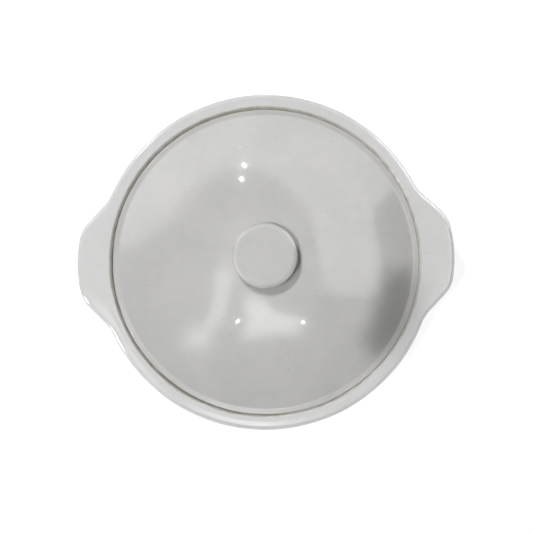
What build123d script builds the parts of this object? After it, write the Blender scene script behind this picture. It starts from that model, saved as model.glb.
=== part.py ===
from build123d import *
import math
import os

# Round covered casserole dish in glazed porcelain: a footed bowl with a broad flat rim and two lug
# handles, and a shallow domed lid that sits in a recess (the gallery) inside the rim.
# Frame: origin at the centre of the foot's resting face, +Z up, +X along the two lugs.
# All sizes are millimetres. Heights are measured from the table.

# ---- rim and gallery ----
RIM_R = 120.0              # outer radius of the flat rim
RIM_TOP = 88.0             # height of the rim's flat top
RIM_THICK = 8.0            # thickness of the rim and of the lugs
RIM_ROUND = 3.3            # rounding of the rim's and the lugs' outer edges
GALLERY_MOUTH_R = 110.7    # radius of the lid's recess at the top of the rim
GALLERY_FOOT_R = 109.3     # radius of the same recess at its ledge
LEDGE_Z = 82.0             # height of the ledge that carries the lid
MOUTH_R = 103.0            # inner radius of the ledge, which is the bowl's clear mouth
MOUTH_ROUND = 0.9          # rounding of the gallery's upper edge and of the ledge's inner edge
LEDGE_COVE = 1.0           # small cove between the ledge and the gallery wall

# ---- bowl ----
BOWL_TOP = 74.0            # the bowl ends here and the rim's collar begins
BOWL_FLAT_R = 50.0         # radius of the bowl's flat floor
WALL_TOP_R = 110.0         # outer radius of the wall under the rim
FOOT_H = 6.0               # clear height under the bowl's floor
FLOOR_THICK = 6.5          # thickness of the bowl's floor
RIM_COVE = 5.0             # cove under the rim, where it meets the wall

# ---- foot ring ----
FOOT_OUT_R = 70.0          # outer radius of the foot ring at the table
FOOT_IN_R = 60.0           # inner radius of the foot ring at the table
FOOT_TAPER = 1.5           # how much the ring widens on each side up to the bowl
FOOT_ROUND = 1.5           # rounding of its resting edges

# ---- lugs ----
LUG_TIP = 134.2            # distance of each lug's tip from the centre
LUG_TIP_R = 90.0           # radius of the broad curve along the tip
LUG_APEX = 155.0           # where the two flanks would meet on the lugs' axis
LUG_FLANK_RUN = 0.96       # sideways run of a flank for each millimetre outwards
LUG_CORNER_R = 25.0        # rounding between the tip and a flank
LUG_FILLET_R = 32.0        # hollow curve between a flank and the round rim
LUG_HALF_ANGLE = 27.0      # a lug takes this many degrees of the rim each side of its middle
LUG_ROOT_R = 114.0         # a lug is let into the rim as far in as this

# ---- lid ----
LID_R = 108.4              # outer radius of the lid
LID_EDGE_TOP = 86.8        # height of the lid's flat edge band
LID_CREASE_R = 105.0       # the band ends here and the dome begins
LID_THICK = 5.0            # thickness of the dome
DOME_RISE = 18.0           # height of the dome above the edge band
LID_SEAT_IN_R = 101.5      # inner radius of the lid's flat seat
LID_TOP_ROUND = 2.0        # rounding of the lid's outer edge above
LID_SEAT_ROUND = 1.2       # and below

# ---- knob ----
KNOB_R = 22.4              # radius of the knob's disc
KNOB_TOP = 122.0           # height of its flat top
KNOB_THICK = 11.0          # thickness of the disc
KNOB_TOP_ROUND = 5.0       # rounding of its upper edge
KNOB_UNDER_ROUND = 3.5     # rounding of its lower edge
NECK_FOOT_R = 17.0         # radius of the neck where it spreads on to the lid
NECK_WAIST_R = 12.5        # radius of its waist
NECK_HEAD_R = 15.0         # radius under the disc

# ---- worked out from the sizes above ----
RIM_UNDER = RIM_TOP - RIM_THICK
FLOOR_Z = FOOT_H + FLOOR_THICK
DOME_TOP = LID_EDGE_TOP + DOME_RISE
DOME_SPHERE_R = (LID_CREASE_R**2 + DOME_RISE**2) / (2 * DOME_RISE)
DOME_CENTRE_Z = DOME_TOP - DOME_SPHERE_R
HOLLOW_SPHERE_R = DOME_SPHERE_R - LID_THICK
DISC_UNDER = KNOB_TOP - KNOB_THICK
BEYOND = 10.0              # how far a cutting tool runs past the clay


def sphere_height(radius, at_r):
    """Height of a sphere about the dome's centre, at a distance at_r from the axis."""
    return DOME_CENTRE_Z + math.sqrt(radius**2 - at_r**2)


def outline(points, rounds=None):
    """Closed flat outline through the points, with a rounding at the points that rounds names."""
    face = make_face(Polyline(*points, close=True))
    for place, radius in (rounds or {}).items():
        corner = min(face.vertices(), key=lambda v: math.hypot(v.X - place[0], v.Y - place[1]))
        face = fillet(corner, radius)
    return face


def turned(section):
    """Solid turned about the dish's axis from a section drawn as radius and height."""
    return revolve(Plane.XZ * section, Axis.Z)


def curved_bowl(outer_r, bottom_z):
    """Solid of the bowl's shape: a flat bottom, then a quarter ellipse up to the collar."""
    wall = EllipticalCenterArc(
        (BOWL_FLAT_R, BOWL_TOP), outer_r - BOWL_FLAT_R, BOWL_TOP - bottom_z,
        start_angle=270, arc_size=90,
    )
    rest = Polyline((outer_r, BOWL_TOP), (0, BOWL_TOP), (0, bottom_z), (BOWL_FLAT_R, bottom_z))
    return turned(make_face([wall, rest]))


def bowl():
    """The bowl's floor and curved wall, up to the collar."""
    return curved_bowl(WALL_TOP_R, FOOT_H) - curved_bowl(MOUTH_R, FLOOR_Z)


def foot_ring():
    """Ring that the dish stands on, shaped above to the bowl's underside."""
    top = 2 * FOOT_H
    resting_out, resting_in = (FOOT_OUT_R, 0), (FOOT_IN_R, 0)
    section = outline(
        [resting_in, resting_out, (FOOT_OUT_R + FOOT_TAPER, top), (FOOT_IN_R - FOOT_TAPER, top)],
        {resting_out: FOOT_ROUND, resting_in: FOOT_ROUND},
    )
    return turned(section) - curved_bowl(WALL_TOP_R, FOOT_H)


def lug_plan(side):
    """Plan of one lug: a broad tip curve between two slanting flanks."""
    tip = Pos(side * (LUG_TIP - LUG_TIP_R), 0) * Rot(0, 0, 90 + 90 * side) * Circle(LUG_TIP_R)
    base_x = LUG_APEX / 2
    half = (LUG_APEX - base_x) / LUG_FLANK_RUN
    flanks = outline([(side * LUG_APEX, 0), (side * base_x, half), (side * base_x, -half)])
    return tip & flanks


def rim_plan():
    """Plan of the round rim with its two lugs, all corners rounded."""
    plan = Circle(RIM_R) + lug_plan(1) + lug_plan(-1)
    tips = [v for v in plan.vertices() if math.hypot(v.X, v.Y) > RIM_R + 1]
    plan = fillet(tips, LUG_CORNER_R)
    roots = [v for v in plan.vertices() if abs(math.hypot(v.X, v.Y) - RIM_R) < 0.01]
    return fillet(roots, LUG_FILLET_R)


def collar():
    """Upright collar between the bowl and the rim, coved out to the rim's underside."""
    cove_r = WALL_TOP_R + RIM_COVE
    cove_z = RIM_UNDER - RIM_COVE
    half_turn = RIM_COVE * (1 - math.sqrt(0.5))
    under = ThreePointArc(
        (WALL_TOP_R, cove_z),
        (WALL_TOP_R + half_turn, RIM_UNDER - half_turn),
        (cove_r, RIM_UNDER),
    )
    rest = Polyline(
        (cove_r, RIM_UNDER), (cove_r, RIM_UNDER + 1), (0, RIM_UNDER + 1),
        (0, BOWL_TOP), (WALL_TOP_R, BOWL_TOP), (WALL_TOP_R, cove_z),
    )
    return turned(make_face([under, rest]))


def gallery_cut():
    """What is cut from the rim: the lid's slightly conical recess, and the mouth below its ledge."""
    slope = (GALLERY_MOUTH_R - GALLERY_FOOT_R) / (RIM_TOP - LEDGE_Z)
    foot = (GALLERY_FOOT_R, LEDGE_Z)
    recess = outline(
        [(0, LEDGE_Z), foot, (GALLERY_MOUTH_R + slope * BEYOND, RIM_TOP + BEYOND), (0, RIM_TOP + BEYOND)],
        {foot: LEDGE_COVE},
    )
    low, high = BOWL_TOP - BEYOND, LEDGE_Z + 1
    mouth = outline([(0, low), (MOUTH_R, low), (MOUTH_R, high), (0, high)])
    return turned(recess + mouth)


def whole_rim():
    """Rim, lugs and collar in one, before the lugs are parted from it."""
    plate = Pos(0, 0, RIM_UNDER) * extrude(rim_plan(), RIM_THICK)
    levels = plate.edges().group_by(Axis.Z)
    plate = fillet(levels[0] + levels[-1], RIM_ROUND)
    rim = plate + collar() - gallery_cut()
    upper = [
        e for e in rim.edges().filter_by(GeomType.CIRCLE)
        if abs(e.radius - GALLERY_MOUTH_R) < 0.05 and abs(e.center().Z - RIM_TOP) < 0.05
    ]
    inner = [
        e for e in rim.edges().filter_by(GeomType.CIRCLE)
        if abs(e.radius - MOUTH_R) < 0.05 and abs(e.center().Z - LEDGE_Z) < 0.05
    ]
    return fillet(upper + inner, MOUTH_ROUND)


def lug_sector(side):
    """Block that holds one lug and the stretch of rim that it is let into."""
    reach = LUG_TIP + BEYOND
    half = reach * math.tan(math.radians(LUG_HALF_ANGLE))
    wedge = outline([(0, 0), (side * reach, half), (side * reach, -half)])
    block = Pos(0, 0, RIM_UNDER - BEYOND) * extrude(wedge - Circle(LUG_ROOT_R), RIM_THICK + 2 * BEYOND)
    cove_r = WALL_TOP_R + RIM_COVE
    under_rim = outline([(0, 0), (cove_r, 0), (cove_r, RIM_UNDER), (0, RIM_UNDER)])
    return block - turned(under_rim)


def lid_edge():
    """Flat band round the lid, with the seat below it that rests on the ledge."""
    crease = (LID_CREASE_R, LID_EDGE_TOP)
    upper, lower = (LID_R, LID_EDGE_TOP), (LID_R, LEDGE_Z)
    hollow_edge = (LID_SEAT_IN_R, sphere_height(HOLLOW_SPHERE_R, LID_SEAT_IN_R))
    section = outline(
        [(LID_SEAT_IN_R, LEDGE_Z), lower, upper, crease, hollow_edge],
        {upper: LID_TOP_ROUND, lower: LID_SEAT_ROUND},
    )
    return turned(section)


def cap_arc(radius, edge_r):
    """Arc of a sphere about the dome's centre, from the axis out to edge_r."""
    return ThreePointArc(
        (0, sphere_height(radius, 0)),
        (edge_r / 2, sphere_height(radius, edge_r / 2)),
        (edge_r, sphere_height(radius, edge_r)),
    )


def lid_dome():
    """Shallow dome of even thickness inside the lid's edge band."""
    top = cap_arc(DOME_SPHERE_R, LID_CREASE_R)
    hollow = cap_arc(HOLLOW_SPHERE_R, LID_SEAT_IN_R)
    joins = [Line(top @ 0, hollow @ 0), Line(top @ 1, hollow @ 1)]
    return turned(make_face([top, hollow, *joins]))


def knob_neck():
    """Waisted neck that carries the knob's disc: it spreads on to the dome below and to the disc above."""
    low = DOME_TOP - 2
    foot_z = sphere_height(DOME_SPHERE_R, NECK_FOOT_R)
    waist_z = (foot_z + DISC_UNDER) / 2
    foot_spread, head_spread = NECK_FOOT_R - NECK_WAIST_R, NECK_HEAD_R - NECK_WAIST_R
    foot_curve = EllipticalCenterArc(
        (NECK_FOOT_R, waist_z), foot_spread, waist_z - foot_z, start_angle=180, arc_size=90
    )
    head_curve = EllipticalCenterArc(
        (NECK_HEAD_R, waist_z), head_spread, DISC_UNDER - waist_z, start_angle=90, arc_size=90
    )
    rest = Polyline(
        (NECK_HEAD_R, DISC_UNDER), (0, DISC_UNDER), (0, low), (NECK_FOOT_R, low), (NECK_FOOT_R, foot_z)
    )
    neck = turned(make_face([foot_curve, head_curve, rest]))
    return neck - Pos(0, 0, DOME_CENTRE_Z) * Sphere(DOME_SPHERE_R)


def knob_disc():
    """Flat-topped disc that the fingers hold."""
    upper, lower = (KNOB_R, KNOB_TOP), (KNOB_R, DISC_UNDER)
    section = outline(
        [(0, DISC_UNDER), lower, upper, (0, KNOB_TOP)],
        {upper: KNOB_TOP_ROUND, lower: KNOB_UNDER_ROUND},
    )
    return turned(section)


def main():
    """Makes every part and writes it to its own file."""
    os.makedirs("parts", exist_ok=True)
    rim = whole_rim()
    right, left = lug_sector(1), lug_sector(-1)
    parts = {
        "bowl": bowl(),
        "foot_ring": foot_ring(),
        "rim_flange": rim - right - left,
        "right_lug": rim & right,
        "left_lug": rim & left,
        "lid_edge": lid_edge(),
        "lid_dome": lid_dome(),
        "knob_neck": knob_neck(),
        "knob_disc": knob_disc(),
    }
    for node, shape in parts.items():
        export_step(shape, f"parts/{node}.step")


main()
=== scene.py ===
"""Looks of a covered casserole dish in pale glazed stoneware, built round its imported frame."""

import logging
import math
from dataclasses import dataclass
from enum import Enum

import bpy
import numpy as np
from mathutils import Matrix, Vector


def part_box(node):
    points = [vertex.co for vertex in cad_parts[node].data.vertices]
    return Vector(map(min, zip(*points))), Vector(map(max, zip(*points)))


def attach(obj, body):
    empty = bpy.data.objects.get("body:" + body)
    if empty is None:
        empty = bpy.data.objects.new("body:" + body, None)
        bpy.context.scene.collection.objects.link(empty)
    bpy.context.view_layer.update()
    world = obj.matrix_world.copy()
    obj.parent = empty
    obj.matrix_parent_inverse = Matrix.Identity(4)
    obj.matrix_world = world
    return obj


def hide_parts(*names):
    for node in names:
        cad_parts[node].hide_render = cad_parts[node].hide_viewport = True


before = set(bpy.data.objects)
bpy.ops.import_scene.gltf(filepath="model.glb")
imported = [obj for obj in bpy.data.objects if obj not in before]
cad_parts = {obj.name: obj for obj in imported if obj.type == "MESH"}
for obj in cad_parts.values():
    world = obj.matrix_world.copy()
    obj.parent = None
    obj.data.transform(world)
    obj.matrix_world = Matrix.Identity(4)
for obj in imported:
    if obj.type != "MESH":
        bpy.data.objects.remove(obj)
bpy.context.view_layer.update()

log = logging.getLogger("casserole")
MM = 0.001
NEAR = 0.05  # millimetres between two points that keep a hidden corner sharp
COLUMNS = 576
SHARE = "share"
WHITE = (1.0, 1.0, 1.0, 1.0)
Object, Material, World = bpy.types.Object, bpy.types.Material, bpy.types.World
Point = tuple[float, float]
Colour = tuple[float, float, float]


class Ends(Enum):
    """How a shell's rows of points end: each end in a pole, or the last row joined to the first."""

    POLES = "poles"
    LOOP = "loop"


class Mark(Enum):
    """What each point of a section carries besides its place."""

    BARE = "bare"
    THIN = "thin"
    WAVE = "wave"
    REACH = "reach"


# ---- sections and shells


class Section:
    """A section traced through (radius, height) points in millimetres.

    It is traced outwards over tops, down outsides, inwards along undersides and up insides,
    so that the shell made from it faces outwards.
    """

    def __init__(self, start: Point) -> None:
        """Starts the trace at a first point's radius and height."""
        self.runs: list[np.ndarray] = [np.array([start], float)]
        self.marks: dict[Mark, list[np.ndarray]] = {mark: [np.zeros(1)] for mark in Mark}

    def _add(self, run: np.ndarray, marks: dict[Mark, float]) -> "Section":
        """Adds a run of points, each mark going in even steps from its last value to the new one.

        Args:
            run: the points, without the one that the trace is at.
            marks: the marks' values at the run's end; a mark that isn't given stays as it was.

        Returns:
            The section, so that runs can be chained.
        """
        self.runs.append(run)
        share = np.arange(1, len(run) + 1) / len(run)
        for mark, values in self.marks.items():
            last = values[-1][-1]
            values.append(last + (marks.get(mark, last) - last) * share)
        return self

    def line(self, end: Point, steps: int = 1, **marks: float) -> "Section":
        """A straight run to the end in even steps; the marks are the values there."""
        share = (np.arange(1, steps + 1) / steps)[:, None]
        return self._add(self.runs[-1][-1] * (1 - share) + np.array(end) * share, named(marks))

    def arc(self, centre: Point, radii: Point, turn: Point, steps: int,
            **marks: float) -> "Section":
        """Part of an ellipse: centre plus radii times the cosine and sine of the angle.

        Args:
            centre: radius and height of the ellipse's centre.
            radii: its half widths along radius and height.
            turn: first and last angle in degrees; the first point is where the trace is.
            steps: how many points it adds.
            **marks: mark values at its end, by the marks' own names.

        Returns:
            The section.
        """
        angle = np.radians(np.linspace(*turn, steps + 1)[1:])
        run = np.stack(
            [centre[0] + radii[0] * np.cos(angle), centre[1] + radii[1] * np.sin(angle)], 1
        )
        return self._add(run, named(marks))

    def bend(self, pull: Point, push: Point, end: Point, steps: int, **marks: float) -> "Section":
        """A cubic Bezier run from the last point, towards pull, in from push, to the end.

        Args:
            pull: control point next to the run's start.
            push: control point next to its end.
            end: its last point.
            steps: how many points it adds.
            **marks: mark values at its end, by the marks' own names.

        Returns:
            The section.
        """
        t = (np.arange(1, steps + 1) / steps)[:, None]
        start = self.runs[-1][-1]
        run = (
            (1 - t) ** 3 * start
            + 3 * t * (1 - t) ** 2 * np.array(pull)
            + 3 * t**2 * (1 - t) * np.array(push)
            + t**3 * np.array(end)
        )
        return self._add(run, named(marks))

    def points(self) -> np.ndarray:
        """All points of the trace, as rows of radius and height in millimetres."""
        return np.concatenate(self.runs)

    def mark(self, mark: Mark) -> np.ndarray:
        """One mark's value at each point of the trace."""
        return np.concatenate(self.marks[mark])


def named(marks: dict[str, float]) -> dict[Mark, float]:
    """Mark values by Mark instead of by name."""
    return {Mark(name): value for name, value in marks.items()}


def ease(values: np.ndarray, low: float, high: float) -> np.ndarray:
    """Smooth step: 0 below low, 1 above high, and 3s^2 - 2s^3 of the share s between."""
    share = np.clip((values - low) / (high - low), 0, 1)
    return share * share * (3 - 2 * share)


@dataclass(frozen=True)
class Unevenness:
    """The slight waviness of poured glaze over a pressed body: a sum of plane waves.

    Height at a point is the depth times the sum of sin(k.p + phase) over the root of the number
    of waves. Each wave k has its own direction, length and phase, from a seeded generator.
    """

    seed: int
    depth: float
    length: Point
    waves: int = 9

    def height(self, places: np.ndarray) -> np.ndarray:
        """Height of the waves at each place.

        Args:
            places: points in metres, one a row.

        Returns:
            Heights in metres.
        """
        draw = np.random.default_rng(self.seed)
        way = draw.normal(size=(3, self.waves))
        way /= np.linalg.norm(way, axis=0)
        length = draw.uniform(*self.length, self.waves) * MM
        phase = draw.uniform(0, math.tau, self.waves)
        wave = np.sin(places @ (way * math.tau / length) + phase)
        return self.depth * MM * wave.sum(1) / math.sqrt(self.waves)


def placed(name: str, data: bpy.types.ID) -> Object:
    """Puts a mesh, light or camera in the scene.

    Args:
        name: the object's name.
        data: what it holds.

    Returns:
        The object, at the origin.
    """
    made = bpy.data.objects.new(name, data)
    bpy.context.scene.collection.objects.link(made)
    return made


def between(rows: int, columns: int, closed: bool) -> np.ndarray:
    """Corner numbers of the quads between rows of points, each row running round.

    Args:
        rows: how many rows there are.
        columns: how many points a row has.
        closed: whether the last row is joined to the first.

    Returns:
        Four corner numbers a quad.
    """
    here = np.arange(columns)
    there = np.roll(here, -1)
    row = (np.arange(rows if closed else rows - 1) * columns)[:, None]
    after = (row + columns) % (rows * columns)
    return np.stack([row + here, after + here, after + there, row + there], 2).reshape(-1, 4)


@dataclass
class Shell:
    """A closed surface: a section carried round an upright axis on a grid of points.

    Point (row, column) lies at the row's place on the section and at the column's bearing, a
    full turn shared evenly among the columns. Aside is where the axis stands, in millimetres.
    """

    name: str
    section: Section
    ends: Ends
    columns: int = COLUMNS
    uneven: Unevenness | None = None
    aside: Point = (0.0, 0.0)

    def bearings(self) -> np.ndarray:
        """Bearing of each column in radians, anticlockwise from +X."""
        return np.arange(self.columns) * math.tau / self.columns

    def plan(self, radius: np.ndarray) -> np.ndarray:
        """Plan of each row: a circle of the row's radius, its axis moved aside.

        Args:
            radius: the rows' radii in millimetres.

        Returns:
            Rows by columns by (x, y), in millimetres.
        """
        turn = self.bearings()
        way = np.stack([np.cos(turn), np.sin(turn)], 1)
        return radius[:, None, None] * way[None] + np.array(self.aside)

    def grid(self) -> np.ndarray:
        """Every point: its row's plan, and its row's height.

        Returns:
            Rows by columns by (x, y, z), in metres.
        """
        radius, height = self.section.points().T
        plan = self.plan(radius)
        level = np.broadcast_to(height[:, None, None], (*plan.shape[:2], 1))
        return np.concatenate([plan, level], 2) * MM

    def faces(self, rows: int) -> list[list[int]]:
        """Corner numbers of every face: quads between rows, and fans of triangles at poles.

        Args:
            rows: how many rows the grid has, poles left out.

        Returns:
            One list of corner numbers a face.
        """
        here = np.arange(self.columns)
        there = np.roll(here, -1)
        quads = between(rows, self.columns, self.ends is Ends.LOOP)
        if self.ends is Ends.LOOP:
            return quads.tolist()
        first = np.full(self.columns, rows * self.columns)
        last = (rows - 1) * self.columns
        fans = [
            np.stack([first, here, there], 1),
            np.stack([last + here, first + 1, last + there], 1),
        ]
        return quads.tolist() + np.concatenate(fans).tolist()

    def spread(self, values: np.ndarray) -> np.ndarray:
        """One value a row laid out as one value a point, poles last."""
        inner, ends = (values, []) if self.ends is Ends.LOOP else (values[1:-1], values[[0, -1]])
        return np.append(np.repeat(inner, self.columns), ends)

    def build(self) -> Object:
        """Makes the object, ripples it, and writes its bare and its tan (thin glaze and painted
        shade) as attributes.

        Returns:
            The object, at the origin.
        """
        grid = self.grid()
        if self.ends is Ends.POLES:
            places = np.concatenate([grid[1:-1].reshape(-1, 3), grid[[0, -1], 0]])
            rows = len(grid) - 2
        else:
            places, rows = grid.reshape(-1, 3), len(grid)
        mesh = bpy.data.meshes.new(self.name)
        mesh.from_pydata(places.tolist(), [], self.faces(rows))
        if self.uneven is not None:
            outward = np.empty(len(places) * 3)
            mesh.vertices.foreach_get("normal", outward)
            rise = self.uneven.height(places) * self.spread(self.section.mark(Mark.WAVE))
            places = places + rise[:, None] * outward.reshape(-1, 3)
            mesh.vertices.foreach_set("co", places.ravel())
        for mark in (Mark.BARE, Mark.THIN):
            layer = mesh.attributes.new(mark.value, "FLOAT", "POINT")
            layer.data.foreach_set("value", self.spread(self.section.mark(mark)))
        mesh.polygons.foreach_set("use_smooth", np.ones(len(mesh.polygons), bool))
        mesh.update()
        return placed(self.name, mesh)


# ---- finishes


class Signal:
    """A shader socket that takes part in Python sums: each operator adds one Math node."""

    def __init__(self, bench: "Bench", node: bpy.types.Node, output: int = 0) -> None:
        """Wraps one output of a node on the bench."""
        self.bench, self.node, self.output = bench, node, output

    def also(self, output: int) -> "Signal":
        """Another output of the same node."""
        return Signal(self.bench, self.node, output)

    def _sum(self, operation: str, first: "Signal | float", second: "Signal | float") -> "Signal":
        """One Math node's output, from its operation and two values."""
        return self.bench.add("ShaderNodeMath", {"operation": operation}, {0: first, 1: second})

    def __add__(self, other: "Signal | float") -> "Signal":
        """Sum."""
        return self._sum("ADD", self, other)

    def __sub__(self, other: "Signal | float") -> "Signal":
        """Difference."""
        return self._sum("SUBTRACT", self, other)

    def __rsub__(self, other: "Signal | float") -> "Signal":
        """Difference from a number."""
        return self._sum("SUBTRACT", other, self)

    def __mul__(self, other: "Signal | float") -> "Signal":
        """Product."""
        return self._sum("MULTIPLY", self, other)

    def __gt__(self, other: "Signal | float") -> "Signal":
        """1 where this is the greater, otherwise 0."""
        return self._sum("GREATER_THAN", self, other)

    __radd__ = __add__
    __rmul__ = __mul__


class Bench:
    """The node tree of a material or world, and the one way that nodes are put on it."""

    def __init__(self, owner: Material | World) -> None:
        """Empties the owner's tree.

        Args:
            owner: the material or world.
        """
        owner.use_nodes = True
        self.owner, self.tree = owner, owner.node_tree
        self.tree.nodes.clear()

    def add(self, kind: str, settings: dict[str, str] | None = None,
            inputs: dict[str | int, object] | None = None) -> Signal:
        """Adds a node.

        Args:
            kind: its Blender type.
            settings: its own properties, set before its sockets.
            inputs: a value or a Signal for each socket, by name or number.

        Returns:
            Its first output.
        """
        node = self.tree.nodes.new(kind)
        for name, value in (settings or {}).items():
            setattr(node, name, value)
        for name, value in (inputs or {}).items():
            if isinstance(value, Signal):
                self.tree.links.new(value.node.outputs[value.output], node.inputs[name])
            else:
                node.inputs[name].default_value = value
        return Signal(self, node)

    def places(self) -> Signal:
        """Object coordinates, in metres."""
        return self.add("ShaderNodeTexCoord").also(3)

    def layer(self, name: str) -> Signal:
        """A number that each point of the mesh carries under this name."""
        return self.add("ShaderNodeAttribute", {"attribute_name": name}).also(2)

    def noise(self, places: Signal, size: float, detail: float = 2.0) -> Signal:
        """Soft noise about 0.5, in blobs of this size in millimetres, with finer octaves."""
        inputs = {"Vector": places, "Scale": 1 / (size * MM), "Detail": detail}
        return self.add("ShaderNodeTexNoise", None, inputs)

    def step(self, value: Signal, low: float, high: float) -> Signal:
        """Smooth step from 0 at low to 1 at high."""
        inputs = {"Value": value, "From Min": low, "From Max": high}
        return self.add("ShaderNodeMapRange", {"interpolation_type": "SMOOTHSTEP"}, inputs)

    def blend(self, share: Signal | float, under: Signal | Colour, over: Signal | Colour) -> Signal:
        """Colour mix, in which this share of the upper colour shows."""
        inputs = {0: share, 6: self.ink(under), 7: self.ink(over)}
        return self.add("ShaderNodeMix", {"data_type": "RGBA"}, inputs).also(2)

    @staticmethod
    def ink(colour: Signal | Colour) -> Signal | tuple[float, ...]:
        """A plain colour with its alpha, or a Signal as it is."""
        return colour if isinstance(colour, Signal) else (*colour, 1.0)

    def close(self, surface: Signal) -> None:
        """Joins the surface shader to the tree's output."""
        kind = "World" if isinstance(self.owner, World) else "Material"
        self.add(f"ShaderNodeOutput{kind}", None, {"Surface": surface})


@dataclass(frozen=True)
class Glaze:
    """Pale grey glaze over stoneware.

    Two shades drift into each other in clouds, small iron specks sit in it, and it turns tan where
    it thins on edges and in the gallery, a tan that also paints shade into the gap round the lid.
    It stops at a ragged line where the body was left bare. Cloud, curdle and grain are the sizes of
    its patterns in millimetres. Each peel is the size and height of a ripple.
    Each edge is how ragged it is, and the mark at which it starts and has set in.
    """

    name: str
    light: Colour = (0.735, 0.728, 0.708)
    dark: Colour = (0.690, 0.685, 0.668)
    tan_thin_and_shade: Colour = (0.600, 0.545, 0.440)
    body: Colour = (0.560, 0.510, 0.430)
    body_dark: Colour = (0.430, 0.385, 0.315)
    iron: Colour = (0.120, 0.100, 0.075)
    gloss: float = 0.13
    gloss_drift: float = 0.06
    coat: float = 0.8
    coat_gloss: float = 0.03
    refraction: float = 1.5
    cloud: float = 33.0
    cloud_share: float = 0.65
    curdle: float = 6.5
    grain: float = 0.8
    contrast: Point = (0.35, 0.65)
    cover: float = 0.8
    bare_edge: tuple[float, float, float] = (0.6, 0.40, 0.60)
    thin_and_shade_edge: tuple[float, float, float] = (0.8, 0.30, 0.95)
    peels: tuple[Point, ...] = ((2.4, 0.010), (11.0, 0.030))
    clay_rough: float = 0.62
    clay_height: float = 0.15
    speck_cells: float = 200.0
    speck_edge: Point = (0.04, 0.075)
    speck_share: float = 0.90

    def specks(self, bench: Bench, places: Signal) -> Signal:
        """Rare round specks: near a cell's point, in the few cells whose own number is high.

        Args:
            bench: the material's nodes.
            places: where the pattern is read.

        Returns:
            1 in a speck, 0 outside.
        """
        inputs = {"Vector": places, "Scale": self.speck_cells}
        cells = bench.add("ShaderNodeTexVoronoi", None, inputs)
        number = bench.add("ShaderNodeSeparateColor", None, {"Color": cells.also(1)})
        return (1 - bench.step(cells, *self.speck_edge)) * (number > self.speck_share)

    def set_in(self, mark: Mark, curdle: Signal, edge: tuple[float, float, float]) -> Signal:
        """Where a mark has set in: step of mark + ragged (curdle - 1/2), from start to end."""
        bench, (ragged, start, end) = curdle.bench, edge
        return bench.step(bench.layer(mark.value) + (curdle - 0.5) * ragged, start, end)

    def material(self) -> Material:
        """Builds the node tree.

        Returns:
            The material.
        """
        made = bpy.data.materials.new(self.name)
        bench = Bench(made)
        places = bench.places()
        clouds, curdle = bench.noise(places, self.cloud), bench.noise(places, self.curdle, 3.0)
        grain = bench.noise(places, self.grain, 4.0)
        drift = clouds * self.cloud_share + curdle * (1 - self.cloud_share)
        bare = self.set_in(Mark.BARE, curdle, self.bare_edge)
        thin = self.set_in(Mark.THIN, curdle, self.thin_and_shade_edge)
        colour = bench.blend(bench.step(drift, *self.contrast), self.dark, self.light)
        colour = bench.blend(self.specks(bench, places) * self.cover, colour, self.iron)
        # tan where the glaze thins, which also paints shade in the gallery and on the lid's edge
        colour = bench.blend(thin * self.cover, colour, self.tan_thin_and_shade)
        clay = bench.blend(bench.step(grain, *self.contrast), self.body_dark, self.body)
        fine, broad = (bench.noise(places, size) * rise for size, rise in self.peels)
        height = (fine + broad) * (1 - bare) + grain * bare * self.clay_height
        bump = bench.add("ShaderNodeBump", None, {"Distance": MM, "Height": height})
        inputs = {
            "Base Color": bench.blend(bare, colour, clay),
            "Roughness": self.gloss + curdle * self.gloss_drift + bare * self.clay_rough,
            "Coat Weight": self.coat - bare * self.coat,
            "Coat Roughness": self.coat_gloss,
            "IOR": self.refraction,
            "Normal": bump,
        }
        bench.close(bench.add("ShaderNodeBsdfPrincipled", None, inputs))
        return made


@dataclass(frozen=True)
class Paint:
    """Matt grey studio paint with a faint mottle, which may shine by itself."""

    name: str
    dark: float
    light: float
    glow: float
    mottle: float = 400.0
    rough: float = 0.9
    sheen: float = 0.1

    def material(self) -> Material:
        """Builds the node tree.

        Returns:
            The material.
        """
        made = bpy.data.materials.new(self.name)
        bench = Bench(made)
        mottle = bench.noise(bench.places(), self.mottle, 1.0)
        inputs = {
            "Base Color": bench.blend(mottle, (self.dark,) * 3, (self.light,) * 3),
            "Roughness": self.rough,
            "Specular IOR Level": self.sheen,
            "Emission Color": WHITE,
            "Emission Strength": self.glow,
        }
        bench.close(bench.add("ShaderNodeBsdfPrincipled", None, inputs))
        return made


@dataclass(frozen=True)
class Glow:
    """Even white light of a card, clear where the card's share is 0 and full where it is 1."""

    name: str
    strength: float

    def material(self) -> Material:
        """Builds the node tree.

        Returns:
            The material.
        """
        made = bpy.data.materials.new(self.name)
        bench = Bench(made)
        clear = bench.add("ShaderNodeBsdfTransparent")
        lit = bench.add("ShaderNodeEmission", None, {"Color": WHITE, "Strength": self.strength})
        mixed = {0: bench.step(bench.layer(SHARE), 0.0, 1.0), 1: clear, 2: lit}
        bench.close(bench.add("ShaderNodeMixShader", None, mixed))
        return made


# ---- pieces


def dress(piece: Object, finish: Material, body: str, slot: str,
          *nodes: str) -> Object:
    """Gives a piece its finish and its place in the frame.

    Args:
        piece: the new object.
        finish: its material.
        body: the body that it rides on.
        slot: the record's material slot; not used.
        *nodes: the frame's nodes that it stands for.

    Returns:
        The piece.
    """
    piece.data.materials.append(finish)
    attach(piece, body)
    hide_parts(*nodes)
    log.info("%s: %d faces on %s", piece.name, len(piece.data.polygons), body)
    return piece


def reach_of(node: str) -> Vector:
    """Highest corner of a node's box, in millimetres."""
    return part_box(node)[1] / MM


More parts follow.
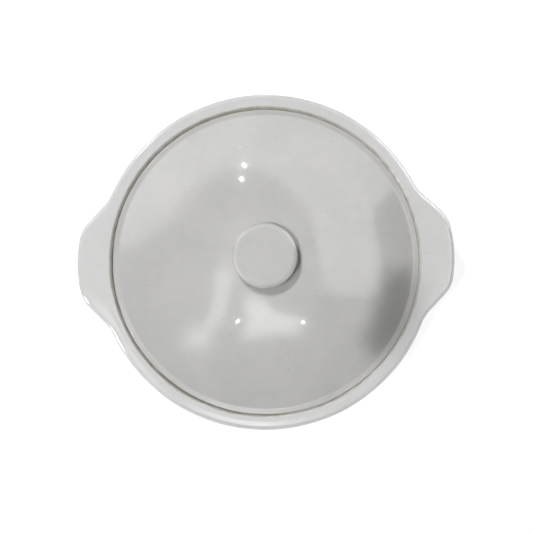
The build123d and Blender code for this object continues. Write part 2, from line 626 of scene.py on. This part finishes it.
@dataclass
class Bowl:
    """The curved bowl: a flat floor that turns up in quarter ellipses, inside and outside."""

    finish: Material
    flat: float = 50.0
    floor: float = 12.5
    wall: float = 7.0
    uneven: Unevenness = Unevenness(11, 0.05, (30.0, 60.0))

    def __post_init__(self) -> None:
        """Reads the bowl's top, underside and outer radius from the frame."""
        high = reach_of("bowl")
        self.low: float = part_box("bowl")[0].z / MM
        self.top: float = high.z
        self.outer: float = high.x

    def underside(self, radius: float) -> float:
        """Height of the outer surface, past the flat: top less depth times root(1 - share^2)."""
        share = (radius - self.flat) / (self.outer - self.flat)
        return self.top - (self.top - self.low) * math.sqrt(1 - share * share)

    def section(self) -> Section:
        """Floor, inner wall, hidden top, outer wall and underside, from pole to pole.

        Returns:
            The section.
        """
        inner, middle, calm = self.outer - self.wall, (self.flat, self.top), 3.0
        inside = (inner - self.flat, self.top - self.floor)
        outside = (self.outer - self.flat, self.top - self.low)
        return (
            Section((0, self.floor))
            .line((calm, self.floor), 2, wave=1)
            .line((self.flat, self.floor), 14)
            .arc(middle, inside, (-90, -4), 44)
            .arc(middle, inside, (-4, -NEAR), 5, wave=0)
            .line((inner, self.top))
            .line((inner + NEAR, self.top))
            .line((self.outer - NEAR, self.top))
            .line((self.outer, self.top))
            .arc(middle, outside, (-NEAR, -4), 5, wave=1)
            .arc(middle, outside, (-4, -90), 44)
            .line((calm, self.low), 14)
            .line((0, self.low), 2, wave=0)
        )

    def build(self) -> Object:
        """Makes and dresses the bowl."""
        piece = Shell("glazed_bowl", self.section(), Ends.POLES, uneven=self.uneven).build()
        return dress(piece, self.finish, "dish", "glaze", "bowl")


@dataclass
class Foot:
    """The foot ring: tapered walls run into the bowl in small coves, and a bare resting band.

    Flare is how far its coves spread under the bowl and sunk how far its hidden top stands in
    the bowl's wall, in millimetres, and slope is the bowl's rise there.
    """

    finish: Material
    bowl: Bowl
    rounding: float = 1.5
    width: float = 10.0
    flare: float = 1.8
    slope: float = 0.43
    sunk: float = 1.2
    columns: int = 384

    def section(self) -> Section:
        """Hidden top, outer cove and wall, resting band, inner wall and cove.

        Returns:
            The section, a closed loop.
        """
        outer = reach_of("foot_ring").x
        inner, r = outer - self.width, self.rounding
        into, out, pull = inner - self.flare, outer + self.flare, 1.5
        low_in, low_out = self.bowl.underside(into), self.bowl.underside(out)
        return (
            Section((into, low_in + self.sunk))
            .line((out, low_out + self.sunk), 4)
            .line((out, low_out))
            .bend((out - pull, low_out - pull * self.slope), (outer - 1.0, 8.6),
                  (outer - 0.9, 7.0), 8)
            .line((outer - 0.3, 2.4), 4)
            .line((outer - 0.2, r), 2, bare=0.3)
            .arc((outer - 0.2 - r, r), (r, r), (0, -90), 7, bare=1)
            .line((inner + 0.2 + r, 0), 8)
            .arc((inner + 0.2 + r, r), (r, r), (-90, -180), 7, bare=0.3)
            .line((inner + 0.3, 2.4), 2, bare=0)
            .line((inner + 0.6, 4.6), 4)
            .bend((inner + 0.7, 6.3), (into + 1.4, low_in + 0.2), (into, low_in), 8)
        )

    def build(self) -> Object:
        """Makes and dresses the foot."""
        piece = Shell("foot", self.section(), Ends.LOOP, self.columns).build()
        return dress(piece, self.finish, "dish", "bare_foot", "foot_ring")


@dataclass(frozen=True)
class Outline:
    """Plan of the rim's outer edge: a circle that grows a rounded lug on each side.

    Each lug is, from its middle outwards: a broad arc at the tip, a tighter corner arc, a
    straight flank, and a hollow fillet that runs into the circle. The lugs were joined by hand,
    so the right one is a little longer than the left one and sits a little off their line.
    """

    rim: float
    tip: float
    right_turn: float = 1.25
    right_extra: float = 0.9
    tip_radius: float = 90.0
    apex: float = 155.0
    run: float = 0.96
    corner: float = 25.0
    fillet: float = 32.0

    def joints(self) -> tuple[np.ndarray, np.ndarray, np.ndarray, np.ndarray, list[float]]:
        """Where the arcs meet, worked out from the flank's line n.p = reach.

        Returns:
            The tip's, corner's and fillet's centres, the flank's normal, and the bearings of
            the four meeting points.
        """
        normal = np.array([1.0, self.run]) / math.hypot(1.0, self.run)
        lean, reach = math.atan2(normal[1], normal[0]), self.apex * normal[0]
        tip = np.array([self.tip - self.tip_radius, 0.0])
        inside = self.tip_radius - self.corner
        turn = lean - math.acos((reach - self.corner - normal @ tip) / inside)
        corner = tip + inside * np.array([math.cos(turn), math.sin(turn)])
        far = self.rim + self.fillet
        turn = lean - math.acos((reach + self.fillet) / far)
        fillet = far * np.array([math.cos(turn), math.sin(turn)])
        meets = [
            tip + (corner - tip) * self.tip_radius / inside,
            corner + self.corner * normal,
            fillet - self.fillet * normal,
            fillet * self.rim / far,
        ]
        return tip, corner, fillet, normal, [math.atan2(p[1], p[0]) for p in meets]

    def edge(self, turn: np.ndarray) -> tuple[np.ndarray, np.ndarray]:
        """Where a ray from the axis leaves the outline, and the outline's normal there.

        A ray along unit vector d meets a circle of radius s about c at d.c plus or minus the
        root of (d.c)^2 - c.c + s^2, and the flank at its reach over n.d.

        Args:
            turn: the rays' bearings in radians.

        Returns:
            Points and outward normals, one row a ray, in millimetres.
        """
        tip, corner, fillet, normal, meets = self.joints()
        right = np.cos(turn) > 0
        skew = np.radians(self.right_turn) * right
        turn = turn - skew
        never_zero = 1e-12
        sign = np.sign(np.stack([np.cos(turn), np.sin(turn)], 1) + never_zero)
        way = np.abs(np.stack([np.cos(turn), np.sin(turn)], 1))
        bearing = np.arctan2(way[:, 1], way[:, 0])
        reach = self.apex * normal[0] / (way @ normal)
        hits, normals = [], []
        for centre, radius, side in (
            (tip, self.tip_radius, 1), (corner, self.corner, 1), (fillet, self.fillet, -1)
        ):
            along = way @ centre
            root = np.sqrt(np.maximum(along**2 - centre @ centre + radius**2, 0))
            point = (along + side * root)[:, None] * way
            hits.append(point)
            normals.append(side * (point - centre) / radius)
        flat = (reach[:, None] * way, np.broadcast_to(normal, way.shape))
        points = [hits[0], hits[1], flat[0], hits[2], self.rim * way]
        facing = [normals[0], normals[1], flat[1], normals[2], way]
        part = np.searchsorted(meets, bearing)[:, None]
        edge, facing = np.choose(part, points) * sign, np.choose(part, facing) * sign
        out = 1 - (np.linalg.norm(edge, axis=1) - self.rim) / (self.tip - self.rim)
        stretch = 1 + self.right_extra / self.tip * (1 - ease(out, 0, 1)) * right
        cos, sin = np.cos(skew), np.sin(skew)
        back = np.array([[cos, -sin], [sin, cos]]).transpose(2, 0, 1)
        edge = edge * stretch[:, None]
        return (back @ edge[:, :, None])[..., 0], (back @ facing[:, :, None])[..., 0]


@dataclass
class RimShell(Shell):
    """The rim's shell: rows with a reach of 1 follow the lugged outline, those with 0 a circle."""

    outline: Outline | None = None

    def plan(self, radius: np.ndarray) -> np.ndarray:
        """Plan of each row: the circle, moved by its reach towards the outline's own offset.

        The offset of a row is the outline, less (rim radius - row radius) along its normal.

        Args:
            radius: the rows' radii in millimetres.

        Returns:
            Rows by columns by (x, y), in millimetres.
        """
        circle = super().plan(radius)
        edge, normal = self.outline.edge(self.bearings())
        inset = (self.outline.rim - radius)[:, None, None]
        reach = self.section.mark(Mark.REACH)[:, None, None]
        return circle + reach * (edge[None] - inset * normal[None] - circle)


@dataclass
class Rim:
    """The flange with its two lugs, the stepped gallery that the lid sits in, and the collar.

    Leaning is how far below the top the gallery's wall starts to lean out, and crowning how far
    the flange's middle rises above its edges, in millimetres.
    """

    finish: Material
    bowl: Bowl
    rounding: float = 3.3
    ledge: float = 82.0
    gallery_foot: float = 109.5
    gallery_mouth: float = 111.3
    lip: float = 0.8
    cove: float = 0.8
    shoulder: float = 5.0
    leaning: float = 3.2
    crowning: float = 0.12
    uneven: Unevenness = Unevenness(23, 0.06, (26.0, 48.0))

    def __post_init__(self) -> None:
        """Reads the rim's radius and levels and the lugs' reach from the frame."""
        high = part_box("rim_flange")[1]
        self.radius: float = high.y / MM
        self.top: float = high.z / MM
        self.under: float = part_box("right_lug")[0].z / MM
        self.outline = Outline(self.radius, reach_of("right_lug").x)

    def section(self) -> Section:
        """Mouth wall, ledge, leaning gallery wall, top, rounded edge, underside and collar.

        Returns:
            The section, a closed loop.
        """
        mouth, base = self.bowl.outer - self.bowl.wall, self.bowl.top
        lip, cove, r, foot = self.lip, self.cove, self.rounding, self.gallery_foot
        top, under, edge = self.top, self.under, self.radius - r
        wall, bend = self.bowl.outer, self.bowl.outer + self.shoulder
        crown = (self.gallery_mouth + edge) / 2
        return (
            Section((mouth, base))
            .line((mouth, base + NEAR))
            .line((mouth, self.ledge - lip), 4)
            .arc((mouth + lip, self.ledge - lip), (lip, lip), (180, 90), 6, thin=1)
            .line((mouth + lip + 0.6, self.ledge), 2, bare=1)
            .line((foot - cove, self.ledge), 6, thin=0.4)
            .arc((foot - cove, self.ledge + cove), (cove, cove), (-90, 0), 6, bare=0)
            # the gallery's tan is thinned glaze and painted shade in the recess round the lid
            .line((foot, top - self.leaning), 5, thin=0.6)
            .bend((foot + 0.6, top - 2.0), (self.gallery_mouth - 0.8, top - 0.1),
                  (self.gallery_mouth, top), 12, thin=0.55)
            .line((self.gallery_mouth + 0.8, top), 3, wave=0.3, thin=0)
            .line((crown, top + self.crowning), 7, wave=1, reach=0.5)
            .line((edge, top), 7, reach=1)
            .arc((edge, top - r), (r, r), (90, 0), 12)
            .line((self.radius, under + r), 3)
            .arc((edge, under + r), (r, r), (0, -90), 12)
            .line((bend, under), 14, reach=0, wave=0.5)
            .arc((bend, under - self.shoulder), (self.shoulder,) * 2, (90, 180), 12, wave=0)
            .line((wall, base + NEAR), 2)
            .line((wall, base))
            .line((wall - NEAR, base))
            .line((mouth + NEAR, base))
        )

    def build(self) -> Object:
        """Makes and dresses the rim."""
        piece = RimShell("glazed_rim", self.section(), Ends.LOOP, uneven=self.uneven,
                         outline=self.outline).build()
        return dress(piece, self.finish, "dish", "rim_glaze", "rim_flange", "right_lug",
                     "left_lug")


@dataclass
class Lid:
    """The domed lid: a shallow ball cap, a crease, a flat edge band, a bare seat and a hollow.

    Spare is how much wider in radius it is than the frame's lid, and aside where it lies in its
    gallery. The ripple sets in over the calm radii and dies away from calm_edge. All are in
    millimetres, and calm_turn, the ripple's start in the hollow, in degrees.
    """

    finish: Material
    crease: float = 105.0
    crease_half: float = 0.7
    ball: float = 315.25
    thick: float = 5.0
    seat_inner: float = 101.5
    seat_lip: float = 0.4
    seat_round: float = 1.2
    edge_round: float = 0.8
    spare: float = 0.6
    calm: Point = (20.0, 32.0)
    calm_edge: float = 98.0
    calm_turn: float = 1.5
    uneven: Unevenness = Unevenness(37, 0.05, (34.0, 70.0))
    aside: Point = (0.40, -0.15)

    def __post_init__(self) -> None:
        """Reads the lid's levels and radius from the frame."""
        low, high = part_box("lid_edge")
        self.radius: float = high.x / MM + self.spare
        self.seat: float = low.z / MM
        self.edge_top: float = high.z / MM
        self.crown: float = reach_of("lid_dome").z
        self.middle: float = self.crown - self.ball

    def height(self, radius: float) -> float:
        """Height of the dome: its centre plus the root of ball squared less radius squared."""
        return self.middle + math.sqrt(self.ball**2 - radius**2)

    def section(self) -> Section:
        """Dome, crease, edge band, rounded edge, seat and hollow, from pole to pole.

        Returns:
            The section.
        """
        ball, hollow = self.ball, self.ball - self.thick
        r, s, top, seat = self.edge_round, self.seat_round, self.edge_top, self.seat
        lip, half, foot = self.seat_lip, self.crease_half, self.crease - self.crease_half
        stops = (0, *self.calm, self.calm_edge, foot)
        lean = [90 - math.degrees(math.asin(x / ball)) for x in stops]
        inner = 90 - math.degrees(math.asin(self.seat_inner / hollow))
        start, pole, middle = inner + self.calm_turn, 89.4, (0, self.middle)
        return (
            Section((0, self.crown))
            .arc(middle, (ball, ball), (lean[0], lean[1]), 8)
            .arc(middle, (ball, ball), (lean[1], lean[2]), 6, wave=1)
            .arc(middle, (ball, ball), (lean[2], lean[3]), 30)
            .arc(middle, (ball, ball), (lean[3], lean[4]), 6, wave=0.3)
            .bend((foot + 0.45, self.height(foot) - 0.16), (self.crease + 0.15, top),
                  (self.crease + half, top), 7, wave=0)
            .line((self.radius - r, top), 2)
            # the edge's tan is thinned glaze and painted shade next to the gap
            .arc((self.radius - r, top - r), (r, r), (90, 45), 6, thin=0.5)
            .arc((self.radius - r, top - r), (r, r), (45, 0), 6, thin=0.7)
            .line((self.radius, seat + s), 3, bare=0.2)
            .arc((self.radius - s, seat + s), (s, s), (0, -90), 7, bare=1)
            .line((self.seat_inner + lip, seat), 8)
            .arc((self.seat_inner + lip, seat + lip), (lip, lip), (-90, -180), 4, bare=0.4,
                 thin=0.6)
            .line((self.seat_inner, self.middle + hollow * math.sin(math.radians(inner))))
            .arc(middle, (hollow, hollow), (inner, start), 6, bare=0, thin=0, wave=1)
            .arc(middle, (hollow, hollow), (start, pole), 34)
            .arc(middle, (hollow, hollow), (pole, 90), 2, wave=0)
        )

    def build(self) -> Object:
        """Makes and dresses the lid."""
        piece = Shell("lid", self.section(), Ends.POLES, uneven=self.uneven,
                      aside=self.aside).build()
        return dress(piece, self.finish, "lid", "lid_glaze", "lid_edge", "lid_dome")


@dataclass
class Knob:
    """The mushroom knob: a thick rounded disc with a faint dimple, on a waisted neck.

    It stands in the lid's middle, and its base is sunk into the lid, in millimetres.
    """

    finish: Material
    lid: Lid
    waist: float = 12.5
    spread: float = 17.0
    head: float = 15.0
    top_round: float = 3.8
    under_round: float = 3.5
    dimple: float = 0.3
    sunk: float = 1.5
    columns: int = 240

    def section(self) -> Section:
        """Dimpled top, rounded edge, underside, neck, and a base hidden in the lid.

        Returns:
            The section.
        """
        radius, top = reach_of("knob_disc").x, reach_of("knob_disc").z
        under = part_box("knob_disc")[0].z / MM
        foot = self.lid.height(self.spread) - 0.02
        middle = (foot + under) / 2
        a, b = self.top_round, self.under_round
        lean = math.tan(math.asin(self.spread / self.lid.ball))
        return (
            Section((0, top - self.dimple))
            .bend((2.5, top - self.dimple), (4.0, top), (8.0, top), 10)
            .line((radius - a, top), 6)
            .arc((radius - a, top - a), (a, a), (90, 0), 16)
            .line((radius, under + b), 4)
            .arc((radius - b, under + b), (b, b), (0, -90), 12)
            .line((self.head, under), 4)
            .arc((self.head, middle), (self.waist - self.head, under - middle), (90, 0), 9)
            .bend((self.waist, middle - 2.2), (self.spread - 2.6, foot + 2.6 * lean + 0.05),
                  (self.spread, foot), 10)
            .line((self.spread, foot - 0.3))
            .line((self.spread - 1, foot - self.sunk))
            .line((0, foot - self.sunk), 4)
        )

    def build(self) -> Object:
        """Makes and dresses the knob."""
        piece = Shell("knob", self.section(), Ends.POLES, self.columns,
                      aside=self.lid.aside).build()
        return dress(piece, self.finish, "lid", "lid_glaze", "knob_neck", "knob_disc")


# ---- studio


class Sees(Enum):
    """Which part of a surface a lamp lights, matt or gloss, as (matt, gloss)."""

    MATT = (True, False)
    GLOSS = (False, True)


def put_up(name: str, places: np.ndarray, faces: list[list[int]],
           finish: Material) -> Object:
    """Makes a piece of the studio, which is no part of the dish.

    Args:
        name: its name.
        places: its points in metres, one a row.
        faces: one list of point numbers a face.
        finish: its material.

    Returns:
        The object.
    """
    mesh = bpy.data.meshes.new(name)
    mesh.from_pydata(places.tolist(), [], faces)
    mesh.materials.append(finish)
    made = placed(name, mesh)
    return made


@dataclass(frozen=True)
class Lamp:
    """A round or oblong lamp, placed by bearing and angle from straight up, aimed at the lid.

    Its place is the lid's middle plus the distance along the way that bearing and lean give.
    """

    name: str
    bearing: float
    lean: float
    size: Point
    watts: float
    sees: Sees
    distance: float = 1.5

    def place(self, aim: Vector) -> Vector:
        """Where the lamp stands.

        Args:
            aim: the point that it faces, in metres.

        Returns:
            Its place in metres.
        """
        turn, lean = math.radians(self.bearing), math.radians(self.lean)
        way = (math.sin(lean) * math.cos(turn), math.sin(lean) * math.sin(turn), math.cos(lean))
        return aim + Vector(way) * self.distance

    def build(self, aim: Vector) -> Object:
        """Hangs the lamp.

        Args:
            aim: the point that it faces, in metres.

        Returns:
            The light's object.
        """
        light = bpy.data.lights.new(self.name, "AREA")
        light.shape = "ELLIPSE"
        light.size, light.size_y = self.size
        light.energy = self.watts
        made = placed(self.name, light)
        made.location = self.place(aim)
        made.rotation_euler = (aim - made.location).to_track_quat("-Z", "Y").to_euler()
        made.visible_diffuse, made.visible_glossy = self.sees.value
        made.visible_camera = False
        return made


@dataclass(frozen=True)
class Card:
    """A card above the dish, glowing or dark, that only gloss shows, as its mirror image.

    Its outline is given on the lid, in millimetres from the axis, where the image falls. A
    sight line from the camera to such a point p of the dome, with unit direction v back to the
    camera and unit normal n, leaves along 2(n.v)n - v, and is followed up to the card's level.
    Its edge is soft over the soft width, at most over the most_soft share of its reach. Widest
    and flattest keep points far out on the ball, and lines near level, from running away.
    """

    name: str
    outline: tuple[Point, ...]
    glow: float
    soft: float
    level: float
    steps: int = 96
    rings: int = 6
    most_soft: float = 0.85
    widest: float = 0.98
    flattest: float = 0.2

    def ring(self) -> np.ndarray:
        """The outline at even steps along its length, rounded off by averaging neighbours.

        Returns:
            Points on the lid in millimetres, one a row.
        """
        corner = np.array((*self.outline, self.outline[0]), float)
        along = np.append(0, np.cumsum(np.linalg.norm(np.diff(corner, axis=0), axis=1)))
        at = np.arange(self.steps) / self.steps * along[-1]
        ring = np.stack([np.interp(at, along, corner[:, k]) for k in (0, 1)], 1)
        return (np.roll(ring, 1, 0) + 2 * ring + np.roll(ring, -1, 0)) / 4

    def lifted(self, points: np.ndarray, eye: np.ndarray, lid: Lid) -> np.ndarray:
        """Carries points from the lid up to the card's level along mirrored sight lines.

        Args:
            points: points on the lid in millimetres, one a row.
            eye: the camera's place in metres.
            lid: the lid, whose dome is the mirror.

        Returns:
            Points in metres, one a row.
        """
        radius = np.minimum(np.linalg.norm(points, axis=1), self.widest * lid.ball)
        rise = np.sqrt(lid.ball**2 - radius**2)
        normal = np.column_stack([points, rise]) / lid.ball
        place = np.column_stack([points, lid.middle + rise]) * MM
        view = eye - place
        view /= np.linalg.norm(view, axis=1)[:, None]
        leaving = 2 * (normal * view).sum(1)[:, None] * normal - view
        climb = (self.level - place[:, 2]) / np.maximum(leaving[:, 2], self.flattest)
        return place + leaving * climb[:, None]

    def build(self, eye: np.ndarray, lid: Lid) -> Object:
        """Hangs the card: rings that shrink towards the middle, clear outside and full inside.

        Args:
            eye: the camera's place in metres.
            lid: the lid, whose dome is the mirror.

        Returns:
            The card.
        """
        ring = self.ring()
        middle = ring.mean(0)
        reach = np.linalg.norm(ring - middle, axis=1)
        fade = np.append(np.linspace(0, 1, self.rings), np.ones(self.rings))
        most = np.minimum(self.soft / reach, self.most_soft)
        shrink = 1 - most * fade[:self.rings, None]
        inward = np.linspace(1, 0, self.rings + 1)[1:, None]
        shrink = np.concatenate([shrink, shrink[-1] * inward])
        points = (middle + (ring - middle) * shrink[:, :, None]).reshape(-1, 2)
        quads = between(len(fade), self.steps, False).tolist()
        finish = Glow(self.name, self.glow).material()
        made = put_up(self.name, self.lifted(points, eye, lid), quads, finish)
        layer = made.data.attributes.new(SHARE, "FLOAT", "POINT")
        layer.data.foreach_set("value", np.repeat(fade, self.steps))
        made.visible_camera = made.visible_diffuse = made.visible_shadow = False
        return made


@dataclass(frozen=True)
class Studio:
    """A pale floor, lamps for matt and for gloss, mirrored cards, a shade board and the camera.

    The surround gives the walls' light at the horizon and falls to the overhead light from
    wall_height up, as the z of its direction, but the camera sees it as bright as the backdrop.
    The shade board's outline is given on the lid's edge, for one of the lamps by its number.
    """

    aim: Point = (1.00, -4.85)
    elevation: float = 84.9
    azimuth: float = 9.0
    roll: float = 1.43
    distance: float = 750.0
    lens: float = 71.33
    sensor: float = 36.0
    clip: Point = (0.01, 60.0)
    floor_half: float = 12.0
    overhead: float = 0.02
    walls: float = 0.38
    wall_height: float = 0.40
    backdrop: float = 0.95
    tint: Colour = (1.0, 0.985, 0.965)
    lamps: tuple[Lamp, ...] = (
        Lamp("key_back", 127.0, 18.0, (0.035, 0.035), 8.1, Sees.MATT),
        Lamp("key_front", 220.0, 13.5, (0.035, 0.035), 7.7, Sees.MATT),
        Lamp("edge_glow", 35.0, 74.0, (1.0, 0.8), 12.0, Sees.GLOSS),
        Lamp("edge_left", 202.0, 66.0, (0.30, 0.30), 9.0, Sees.GLOSS),
        Lamp("edge_back", 132.0, 66.0, (0.20, 0.26), 3.0, Sees.GLOSS),
    )
    cards: tuple[Card, ...] = (
        Card("ceiling", ((-130, -130), (130, -130), (130, 130), (-130, 130)), 2.0, 5.0, 1.50),
        Card("dim_ceiling", (
            (-180, 8), (-112, 13), (-84, 24), (-64, 44), (-48, 63), (-20, 75), (-1, 74), (20, 53),
            (37, 36), (42, 14), (41, -6), (44, -20), (58, -26), (80, -26), (180, -25),
            (125, -125), (0, -175), (-125, -125)), 0.28, 16.0, 1.48),
        Card("knob_light", ((-12, -12), (12, -12), (12, 12), (-12, 12)), 0.9, 3.0, 1.46),
        Card("dark_board", (
            (87, 49), (75, 32), (77, 7), (75, -29), (72, -49), (64, -56), (73, -65), (82, -73),
            (125, -86), (147, -15), (125, 57)), 0.0, 8.0, 1.46),
        Card("streak", ((-36, -4), (-22, -5), (-24, -26), (-29, -49), (-47, -49), (-38, -26)),
             2.6, 7.0, 1.44),
        Card("patch_left", ((-66, -43), (-34, -39), (-30, -57), (-44, -69), (-64, -64)),
             2.6, 14.0, 1.45),
        Card("patch_front", ((-22, -23), (-2, -20), (8, -36), (33, -40), (28, -61), (-22, -61)),
             3.6, 16.0, 1.44),
    ) + tuple(
        Card(f"glint_{number}", ((x - size, y), (x, y - size), (x + size, y), (x, y + size)),
             glow, size * 0.3, 1.40)
        for number, (x, y, size, glow) in enumerate((
            (-13, 66, 2.7, 45), (-16, 56, 2.3, 45), (-15, 81, 1.0, 36), (-20, -44, 2.0, 36),
            (26, -46, 2.0, 36), (90, -15, 1.0, 32), (-22, 20, 0.9, 30)))
    )
    shaded: tuple[Point, ...] = (
        (85, -8), (76, -42), (69, -57), (73, -74), (88, -68), (106, -44), (106, -8))
    shade_share: float = 0.36
    shaded_lamp: int = 1

    def floor(self) -> Object:
        """A wide level square at height 0, matt and near white.

        Returns:
            The floor.
        """
        corners = np.array([(-1, -1, 0), (1, -1, 0), (1, 1, 0), (-1, 1, 0)]) * self.floor_half
        finish = Paint("floor_paint", dark=0.24, light=0.27, glow=0.88).material()
        return put_up("floor", corners, [[0, 1, 2, 3]], finish)

    def shade(self, lid: Lid, lamp: Object) -> Object:
        """A small board that keeps one lamp's light off the lid's edge at the right.

        Its outline is the shaded one on the lid, each corner carried a share of the way from
        the lid to the lamp.

        Args:
            lid: the lid, at whose edge's height the outline is given.
            lamp: the lamp.

        Returns:
            The board.
        """
        shaded = np.column_stack([self.shaded, np.full(len(self.shaded), lid.edge_top)]) * MM
        corners = shaded + self.shade_share * (np.array(lamp.location) - shaded)
        finish = Paint("board_paint", dark=0.10, light=0.12, glow=0.0).material()
        made = put_up("shade_board", corners, [list(range(len(corners)))], finish)
        made.visible_camera = made.visible_diffuse = made.visible_glossy = False
        return made

    def surroundings(self) -> None:
        """A surround that lights dimly from the sides and looks evenly pale to the camera."""
        world = bpy.data.worlds.new("surround")
        bench = Bench(world)
        way = bench.add("ShaderNodeTexCoord")
        rise = bench.add("ShaderNodeSeparateXYZ", None, {0: way}).also(2)
        low = 1 - bench.step(rise, 0.0, self.wall_height)
        light = low * (self.walls - self.overhead) + self.overhead
        seen = bench.add("ShaderNodeLightPath")
        levels = {0: seen, 2: light, 3: self.backdrop}
        strength = bench.add("ShaderNodeMix", {"data_type": "FLOAT"}, levels)
        inputs = {"Color": bench.ink(self.tint), "Strength": strength}
        bench.close(bench.add("ShaderNodeBackground", None, inputs))
        bpy.context.scene.world = world

    def camera(self) -> Object:
        """A long lens almost straight above, rolled a little so that one lug sits higher.

        Returns:
            The camera.
        """
        top = reach_of("rim_flange").z
        aim = Vector((*self.aim, top)) * MM
        turn, rise = math.radians(self.azimuth), math.radians(self.elevation)
        back = Vector((math.sin(turn) * math.cos(rise), -math.cos(turn) * math.cos(rise),
                       math.sin(rise)))
        data = bpy.data.cameras.new("camera")
        data.lens, data.sensor_width = self.lens, self.sensor
        data.clip_start, data.clip_end = self.clip
        made = placed("camera", data)
        made.location = aim + back * self.distance * MM
        roll = math.radians(self.roll)
        upward = Vector((math.sin(roll), math.cos(roll), 0))
        side = upward.cross(back).normalized()
        made.rotation_euler = Matrix((side, back.cross(side), back)).transposed().to_euler()
        bpy.context.scene.camera = made
        return made

    def build(self, lid: Lid) -> None:
        """Sets up the floor, surround, lamps, shade board, camera, cards and plain colours.

        Args:
            lid: the lid, in whose dome the cards are mirrored.
        """
        self.floor()
        self.surroundings()
        hung = [lamp.build(Vector((0, 0, lid.crown * MM))) for lamp in self.lamps]
        self.shade(lid, hung[self.shaded_lamp])
        eye = np.array(self.camera().location)
        for card in self.cards:
            card.build(eye, lid)
        log.info("studio: %d lamps, %d cards", len(hung), len(self.cards))
        bpy.context.scene.view_settings.view_transform = "Standard"


def main() -> None:
    """Builds the dish, its foot and rim, the lid and its knob, then the studio."""
    logging.basicConfig(level=logging.INFO, format="%(name)s %(message)s")
    # the rim's glaze is a paler copy of the others: painted light for the flange's brighter top
    lit_pale, lit_paler = (0.880, 0.877, 0.870), (0.920, 0.918, 0.912)
    bowl = Bowl(Glaze("body_glaze").material())
    bowl.build()
    Foot(Glaze("foot_clay").material(), bowl).build()
    # paler rim glaze, painted light
    Rim(Glaze("rim_glaze", light=lit_paler, dark=lit_pale).material(), bowl).build()
    lid = Lid(Glaze("lid_glaze").material())
    lid.build()
    Knob(Glaze("knob_glaze", gloss=0.22, coat=0.35).material(), lid).build()
    Studio().build(lid)


if __name__ == "__main__":
    main()
